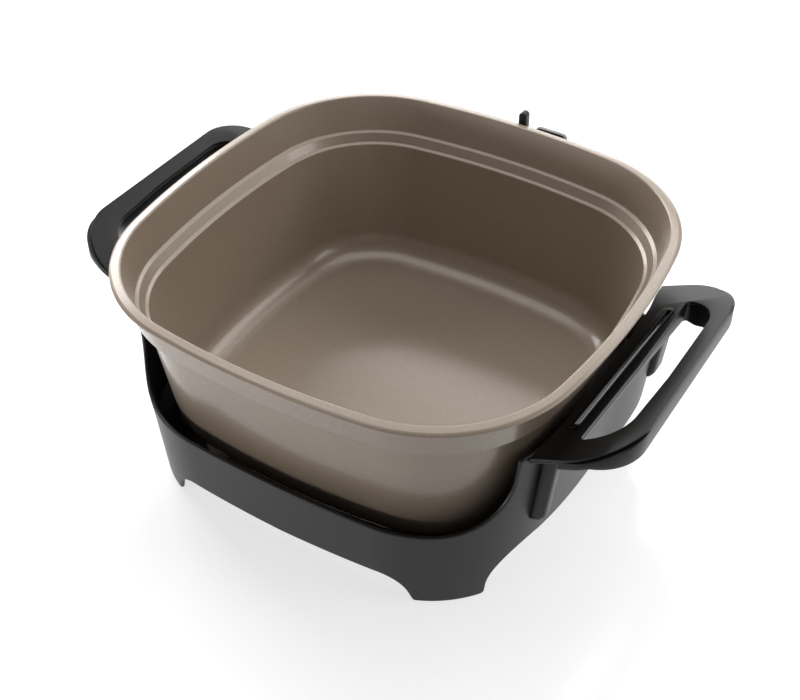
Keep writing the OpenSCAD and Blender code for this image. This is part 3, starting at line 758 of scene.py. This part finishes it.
def corner_parts(shape, sx, sy):
    """Foot floor, side fin, rest pad's pedestal and shield screw's boss of one corner."""
    foot_low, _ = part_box("foot_pads")
    _, rest_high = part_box("rest_pads")
    _, screw_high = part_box("shield_screws")
    wide = 1.0 + SPREAD if sy > 0 else 1.0
    more = REAR_FIN_MORE if sy > 0 else 0.0
    stretch = 1.0 + more / (FIN_TO - FIN_FROM)

    def on_floor(u, v, w):
        return (sx * u * wide, sy * v, w)

    def on_fin(u, v, w):
        return (sx * (u + more / 2), sy * (FIN_FROM + (w - FIN_FROM) * stretch), v)

    near, far = -foot_low.x / MM - 33.0, 88.0
    arc = arc_points((BASE_CORNER_AT, BASE_CORNER_AT), BASE_CORNER_R - 1.0, 36.4, 53.6, 8)
    floor = [(near, near), (far, near), *arc, (near, far)]
    shape.plate(floor, [], 2.5, 6.0, 0.6, on_floor)

    middle, half = (FIN_FROM + FIN_TO) / 2, BASE_WALL / 2
    fin = rounded([
        (wall_reach(middle, FIN_BOTTOM_Z, half), FIN_BOTTOM_Z, 0.0), (FIN_X - 7.0, 53.8, 2.5),
        (FIN_X - 4.2, 58.0, 5.0), (FIN_X, 100.0, 3.0), (FIN_X, SEAT_Z, 0.0),
        (wall_reach(middle, SEAT_Z, half), SEAT_Z, 0.0),
    ], steps=5)
    shape.plate(fin, [], FIN_FROM, FIN_TO, 2.0, on_fin)

    rest_at = rest_high.x / MM - REST_PAD_R
    rest_z = rest_high.z / MM - REST_PAD_H - 0.2
    floor_z = 3.0
    shape.lathe((sx * rest_at, sy * rest_at), [
        (0.0, floor_z), (9.0, floor_z), (9.0, 16.2), (8.2, 17.0), (7.3, 17.2), (REST_PAD_R, 18.2),
        (REST_PAD_R, rest_z - 0.5), (REST_PAD_R - 0.5, rest_z), (0.0, rest_z),
    ])
    boss_at = screw_high.x / MM - HEAD_R
    boss_r, boss_z = 4.5, 17.0
    shape.lathe((sx * boss_at, sy * boss_at), [
        (0.0, floor_z), (boss_r, floor_z), (boss_r, boss_z - 0.5), (boss_r - 0.5, boss_z), (0.0, boss_z),
    ])


def hinge_tower(shape):
    """Rear tower that carries the hinge bracket."""
    back = wall_reach(0.0, 0.0, 0.0)
    tower = rounded([
        (back + 0.3, 24.0, 0.0), (back + 9.1, 30.0, 2.0), (back + 13.3, 60.5, 6.0),
        (TOWER_FAR_Y, 104.0, 6.0), (TOWER_FAR_Y, TOWER_TOP_Z, 1.0), (TOWER_NEAR_Y, TOWER_TOP_Z, 1.0),
        (TOWER_NEAR_Y, 110.0, 4.0), (back + 7.3, 70.5, 4.0), (back + 3.5, 59.5, 0.0),
    ], closed=True, steps=5)
    shape.plate(tower, [], TOWER_FROM, TOWER_TO, 0.9, lambda u, v, w: (w, u, v))


def base_piece():
    """Legged base: its wall, the flange and corner parts inside it, and the tower behind."""
    shape = Shape()
    columns = wall_columns()
    wall_shell(shape, columns)
    wall_flange(shape, columns)
    for sx in (-1, 1):
        for sy in (-1, 1):
            corner_parts(shape, sx, sy)
    hinge_tower(shape)
    shape.piece("base_wall", BASE_PLASTIC, "base", "base_plastic", "base_frame")


# Handles


def handle_top(x):
    """Height of the sloping top at a distance from the middle."""
    return HANDLE_TOP_Z + HANDLE_SLOPE * (x - HANDLE_TOP_X)


def handle_outline(inner, corner_r):
    """Straight outer edge and round corners of the right handle, closed by an inner line."""
    at = (EDGE_X - corner_r, HANDLE_HALF - corner_r)
    half = [(EDGE_X, at[1] * k / 6) for k in range(6)]
    half += arc_points(at, corner_r, 0.0, 90.0, 24) + inner
    return half + [(x, -y) for x, y in reversed(half) if abs(y) > 1e-6]


def finger_gap():
    """Outline of the gap that fingers go through, wider at the rear."""
    rear = arc_points((155.2, 44.5), 24.3, 0.0, 74.0, 14)
    front = arc_points((152.6, -45.5), 24.2, -78.0, -4.0, 14)
    rear_turn = [(160.3, 68.1), (159.2, 67.2), (158.7, 66.0)]
    front_turn = [(155.3, -66.5), (155.7, -68.0), (156.8, -69.0)]
    return rear + rear_turn + [(158.2, 0.0)] + front_turn + front + [(179.2, -10.0)]


def long_slot(x0, x1, half, radius):
    """Long slot that leans outwards to the rear."""
    ends = [(x0, -half, radius), (x1, -half, radius), (x1, half, radius), (x0, half, radius)]
    return [(x + SPLAY * y, y) for x, y in rounded(ends, closed=True, steps=8)]


def handle_plate(side, word):
    """Sloping plate of one handle, with its slot and the raised rail round it."""

    def on_plate(x, y, z):
        thick = SEAT_T + (PLATE_T - SEAT_T) * ramp(x, SEAT_END_X, PLATE_FROM_X)
        return (side * x, y, handle_top(x) + (z if z > -PLATE_T / 2 else z + PLATE_T - thick))

    ys = (HANDLE_HALF, 82.5, 76.0, 64.0, 52.0, 39.0, 26.0, 13.0, 0.0)
    at_wall = [(max(wall_reach(y, SEAT_Z, BASE_WALL), 135.5), y) for y in ys]
    slot = long_slot(148.8, 151.6, 57.5, 1.38)
    rail = long_slot(144.3, 152.4, 60.5, 3.0)
    shape = Shape()
    shape.plate(handle_outline(at_wall, PLATE_CORNER_R), [finger_gap(), slot], -PLATE_T, 0.0, 0.6, on_plate)
    shape.plate(rail, [slot], 0.4 - PLATE_T, 1.2, 0.35, on_plate)
    shape.piece("handle_plate_" + word, HANDLE_PLASTIC, "base", "handle_plastic", "handle_" + word)


def grip_shell(side, word):
    """Lower half of one handle, whose rear arm reaches down to the base's collar."""

    def in_shell(x, y, z):
        high = handle_top(x) - PLATE_T - SHELL_GROOVE
        low = min(SKIRT_Z, high + PLATE_T - SHELL_DROP)
        arm = eased(ramp(y, ARM_FROM_Y, ARM_TO_Y)) * eased(1.0 - ramp(x, ARM_TO_X, ARM_END_X))
        low += (COLLAR_Z - low) * arm
        return (side * x, y, low + (high - low) * z / SHELL_SPAN)

    near = [(SHELL_X, y) for y in (HANDLE_HALF, 60.0, 30.0, 0.0)]
    outline = handle_outline(near, SHELL_CORNER_R)
    shape = Shape()
    shape.plate(outline, [finger_gap()], 0.0, SHELL_SPAN, 0.6, in_shell, flat=False)
    name = "grip_shell_" + word
    shape.piece(name, HANDLE_PLASTIC, "base", "handle_plastic", name)


# Screws and pads, each kind by one tree of geometry nodes


def sized_tree(name, sizes):
    """Tree with named sizes, the value of each, and the points that it is given."""
    tree = bpy.data.node_groups.new(name, "GeometryNodeTree")
    tree.interface.new_socket("Geometry", in_out="INPUT", socket_type="NodeSocketGeometry")
    for size in sizes:
        tree.interface.new_socket(size, in_out="INPUT", socket_type="NodeSocketFloat")
    tree.interface.new_socket("Turn", in_out="INPUT", socket_type="NodeSocketVector")
    tree.interface.new_socket("Finish", in_out="INPUT", socket_type="NodeSocketMaterial")
    tree.interface.new_socket("Geometry", in_out="OUTPUT", socket_type="NodeSocketGeometry")
    n = Nodes(tree)
    names = ("Geometry", *sizes, "Turn", "Finish")
    return n, dict(zip(names, n.add("NodeGroupInput", None, None, names)))


def upwards(n, height):
    """Vector of a height alone."""
    return n.add("ShaderNodeCombineXYZ", None, {"Z": height})


def drawn_up(n, sockets, height):
    """A mesh with its faces, or those selected, drawn upwards, and which faces are then on top."""
    sockets = {**sockets, "Offset": upwards(n, height), "Individual": False}
    return n.add("GeometryNodeExtrudeMesh", {"mode": "FACES"}, sockets, ("Mesh", "Top"))


def lifted(n, piece, height):
    """A piece moved upwards."""
    return n.add("GeometryNodeTransform", None, {"Geometry": piece, "Translation": upwards(n, height)})


def turned_over(n, piece):
    """A piece turned to point downwards."""
    return n.add("GeometryNodeTransform", None, {"Geometry": piece, "Rotation": (math.pi, 0.0, 0.0)})


def together(n, *pieces):
    """Pieces as one."""
    return n.add("GeometryNodeJoinGeometry", None, {"Geometry": list(pieces)})


def slug(n, radius, tall, chamfer, sides):
    """Round slug that stands on zero, with a chamfer round its top."""
    disc = n.add("GeometryNodeMeshCircle", {"fill_type": "NGON"}, {"Vertices": sides, "Radius": radius})
    body, top = drawn_up(n, {"Mesh": disc}, tall - chamfer)
    body, top = drawn_up(n, {"Mesh": body, "Selection": top}, chamfer)
    sockets = {"Geometry": body, "Selection": top, "Scale": 1.0 - chamfer / radius}
    body = n.add("GeometryNodeScaleElements", {"domain": "FACE"}, sockets)
    foot = n.add("GeometryNodeFlipFaces", None, {"Mesh": disc})
    sockets = {"Geometry": together(n, body, foot), "Distance": MERGE}
    return n.add("GeometryNodeMergeByDistance", None, sockets)


def end_tree(n, given, piece):
    """Sets a piece on every given point and ends the tree."""
    sockets = {"Points": given["Geometry"], "Instance": piece, "Rotation": given["Turn"]}
    many = n.add("GeometryNodeInstanceOnPoints", None, sockets)
    solid = n.add("GeometryNodeRealizeInstances", None, {"Geometry": many})
    done = n.add("GeometryNodeSetMaterial", None, {"Geometry": solid, "Material": given["Finish"]})
    n.add("NodeGroupOutput", None, {"Geometry": done}, None)
    return n.tree


def screw_tree():
    """Pan-head screw with a cross recess, its head's underside at zero and its shaft downwards."""
    n, given = sized_tree("pan_screw", ("Head Radius", "Head Height", "Shaft Radius", "Shaft Length"))
    wide, tall = given["Head Radius"], given["Head Height"]
    head = slug(n, wide, tall, tall * 0.35, sides=32)
    deep = tall * 0.55
    bars = []
    for x, y in ((1.15, 0.26), (0.26, 1.15)):
        size = n.add("ShaderNodeCombineXYZ", None, {"X": wide * x, "Y": wide * y, "Z": deep * 2.0})
        bars.append(lifted(n, n.add("GeometryNodeMeshCube", None, {"Size": size}), tall))
    head = n.add("GeometryNodeMeshBoolean", {"operation": "DIFFERENCE"}, {"Mesh 1": head, "Mesh 2": bars})
    thin = given["Shaft Radius"]
    shaft = slug(n, thin, given["Shaft Length"], thin * 0.35, sides=20)
    return end_tree(n, given, together(n, head, turned_over(n, shaft)))


def pad_tree():
    """Round pad with a chamfered face and a peg on its back."""
    n, given = sized_tree("round_pad", ("Radius", "Height", "Peg Radius", "Peg Height"))
    face = slug(n, given["Radius"], given["Height"], given["Height"] * 0.25, sides=40)
    peg = slug(n, given["Peg Radius"], given["Peg Height"], given["Peg Radius"] * 0.2, sides=24)
    return end_tree(n, given, together(n, face, turned_over(n, peg)))


def set_out(node, tree, places, sizes, turn, material, body):
    """Pieces of a tree at some places in metres, in the stead of a CAD node."""
    points = bpy.data.meshes.new(node + "_set")
    points.from_pydata(places, [], [])
    obj = linked(node + "_set", points)
    modifier = obj.modifiers.new("set_out", "NODES")
    modifier.node_group = tree
    given = {**{key: value * MM for key, value in sizes.items()}, "Turn": turn, "Finish": material}
    for socket in tree.interface.items_tree:
        if socket.in_out == "INPUT" and socket.name in given:
            modifier[socket.identifier] = given[socket.name]
    obj.data = evaluated(obj)
    obj.modifiers.clear()
    bpy.data.meshes.remove(points)
    smoothed(obj.data)
    finished(obj, material, body, node, SET_SHARP)


SCREW = screw_tree()
PAD = pad_tree()
DOWN = (math.pi, 0.0, 0.0)
UP = (0.0, 0.0, 0.0)
TO_BACK = (-math.pi / 2, 0.0, 0.0)


def screw_set(node, turn, body):
    """Screws of one CAD node, whose heads point up, down or to the back."""
    low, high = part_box(node)
    inset = HEAD_R * MM
    xs = sorted({round(low.x + inset, 5), round(high.x - inset, 5)})
    if turn == TO_BACK:
        places = [(x, high.y - HEAD_H * MM, (low.z + high.z) / 2) for x in xs]
        length = (high.y - low.y) / MM - HEAD_H
    else:
        z = high.z - HEAD_H * MM if turn == UP else low.z + HEAD_H * MM
        places = [(x, y, z) for x in xs for y in (low.y + inset, high.y - inset)]
        length = (high.z - low.z) / MM - HEAD_H
    sizes = {"Head Radius": HEAD_R, "Head Height": HEAD_H, "Shaft Radius": SHAFT_R, "Shaft Length": length}
    set_out(node, SCREW, places, sizes, turn, SCREW_STEEL, body)


def pad_set(node, radius, tall, turn, material):
    """Pads of one CAD node at the four corners, whose faces point up or down."""
    low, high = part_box(node)
    inset = radius * MM
    z = high.z - tall * MM if turn == UP else low.z + tall * MM
    places = [(x, y, z) for x in (low.x + inset, high.x - inset) for y in (low.y + inset, high.y - inset)]
    rest = (high.z - low.z) / MM - tall
    sizes = {"Radius": radius, "Height": tall, "Peg Radius": PEG_R, "Peg Height": rest}
    set_out(node, PAD, places, sizes, turn, material, "base")


# Pieces

pot_piece()
base_piece()
for side, word in ((1, "right"), (-1, "left")):
    handle_plate(side, word)
    grip_shell(side, word)

screw_set("guard_screws", DOWN, "pot")
screw_set("shield_screws", UP, "base")
screw_set("handle_bolts", DOWN, "base")
screw_set("grip_screws", DOWN, "base")
screw_set("hinge_screws", TO_BACK, "base")
pad_set("rest_pads", REST_PAD_R, REST_PAD_H, UP, SILICONE)
pad_set("foot_pads", FOOT_PAD_R, FOOT_PAD_H, DOWN, FOOT_RUBBER)

softened("hinge_bracket", "hinge_mount", BASE_PLASTIC, "base", edge=0.7)
softened("hinge_leaf", "lid_leaf", LEAF_METAL, "leaf", edge=0.5)
softened("hinge_pin", "leaf_pin", BRIGHT_STEEL, "base", edge=0.3)
softened("pin_clip", "pin_ring", SCREW_STEEL, "base", edge=0.15)
softened("port_trim", "plug_trim", BASE_PLASTIC, "base", edge=0.4)
softened("terminal_guard", "plug_guard", SHEET_METAL, "pot", edge=0.25)
softened("terminal_pins", "plug_pins", BRIGHT_STEEL, "pot", edge=0.4)
softened("terminal_bushes", "pin_bushes", CERAMIC, "pot", edge=0.5)
softened("probe_sleeve", "sensor_sleeve", BRIGHT_STEEL, "pot", edge=0.25)

# CAD nodes that keep their shape
for node, material in {"heating_element": HEATER_STEEL, "heat_shield": SHEET_METAL}.items():
    nodes[node].data.materials.clear()
    nodes[node].data.materials.append(material)

# Floor, light and camera


def stage_white():
    """White that the eye and reflections see, over paper with a faint sheen that takes shadows."""
    white = (1.0, 1.0, 1.0, 1.0)
    grey = (0.42, 0.42, 0.42, 1.0)
    f = Finish("studio_floor")
    seen = ("Is Camera Ray", "Is Glossy Ray", "Is Transmission Ray")
    eye, gloss, through = f.add("ShaderNodeLightPath", None, None, seen)
    glow = f.add("ShaderNodeEmission", None, {"Strength": (eye + gloss + through) * 0.7})
    paper = f.add("ShaderNodeBsdfDiffuse", None, {"Color": grey})
    sheen = f.add("ShaderNodeBsdfGlossy", None, {"Color": white, "Roughness": 0.16})
    lit = f.add("ShaderNodeMixShader", None, {0: 0.05, 1: paper, 2: sheen})
    both = f.add("ShaderNodeAddShader", None, {0: glow, 1: lit})
    f.add("ShaderNodeOutputMaterial", None, {"Surface": both}, None)
    return f.material


def white_stage():
    """White floor that rises into a low round backdrop."""
    flat_r, bend_r, top_z = 2000.0, 500.0, 1100.0
    bends = (0.3, 0.6, 0.9, 1.2, 1.5)
    profile = [(0.0, 0.0), (600.0, 0.0), (flat_r, 0.0)]
    profile += [(flat_r + bend_r * math.sin(a), bend_r * (1.0 - math.cos(a))) for a in bends]
    profile += [(flat_r + bend_r, top_z)]
    shape = Shape()
    shape.lathe((0.0, 0.0), profile, steps=64)
    mesh = bpy.data.meshes.new("studio_floor")
    mesh.from_pydata([(x * MM, y * MM, z * MM) for x, y, z in shape.points], [], shape.faces)
    smoothed(mesh)
    mesh.materials.append(stage_white())
    linked("studio_floor", mesh)


def grey_room():
    """Dim even room above the stage."""
    world = bpy.data.worlds.new("grey_room")
    bpy.context.scene.world = world
    world.use_nodes = True
    n = Nodes(world.node_tree)
    air = n.add("ShaderNodeBackground", None, {"Color": (1.0, 1.0, 1.0, 1.0), "Strength": 0.15})
    n.add("ShaderNodeOutputWorld", None, {"Surface": air}, None)


def soft_light(name, at, aim_z, size, power):
    """Large soft lamp that points at a height over the middle, in metres and watts."""
    lamp = bpy.data.lights.new(name, "AREA")
    lamp.shape = "RECTANGLE"
    lamp.size, lamp.size_y = size
    lamp.energy = power
    obj = linked(name, lamp)
    obj.location = at
    obj.rotation_euler = (Vector((0.0, 0.0, aim_z)) - Vector(at)).to_track_quat("-Z", "Y").to_euler()


def photo_camera():
    """Camera at the photograph's place."""
    azimuth, elevation = math.radians(31.72), math.radians(40.65)
    level_way = math.cos(elevation)
    back = Vector((math.sin(azimuth) * level_way, -math.cos(azimuth) * level_way, math.sin(elevation)))
    lens = bpy.data.cameras.new("photo_camera")
    lens.sensor_width = 36.0
    lens.lens = 60.87
    lens.clip_start = 0.01
    camera = linked("photo_camera", lens)
    camera.location = in_metres(344.9, -558.6, 626.6)
    camera.rotation_euler = (-back).to_track_quat("-Z", "Y").to_euler()
    bpy.context.scene.camera = camera


white_stage()
grey_room()
soft_light("top_lamp", (-0.15, 0.22, 1.3), aim_z=0.08, size=(1.2, 0.9), power=6.5)
soft_light("back_strip", (0.1, 1.25, 1.1), aim_z=0.1, size=(2.2, 0.5), power=14.0)
soft_light("right_lamp", (1.35, 0.5, 0.8), aim_z=0.1, size=(0.8, 0.8), power=7.0)
soft_light("rear_lamp", (-1.3, 0.6, 0.85), aim_z=0.1, size=(0.8, 0.8), power=18.0)
soft_light("low_strip", (-0.55, 1.35, 0.42), aim_z=0.12, size=(1.4, 0.3), power=4.0)
soft_light("left_lamp", (-1.0, -1.25, 0.13), aim_z=0.08, size=(1.0, 0.2), power=9.5)
photo_camera()

bpy.context.scene.view_settings.view_transform = "Standard"
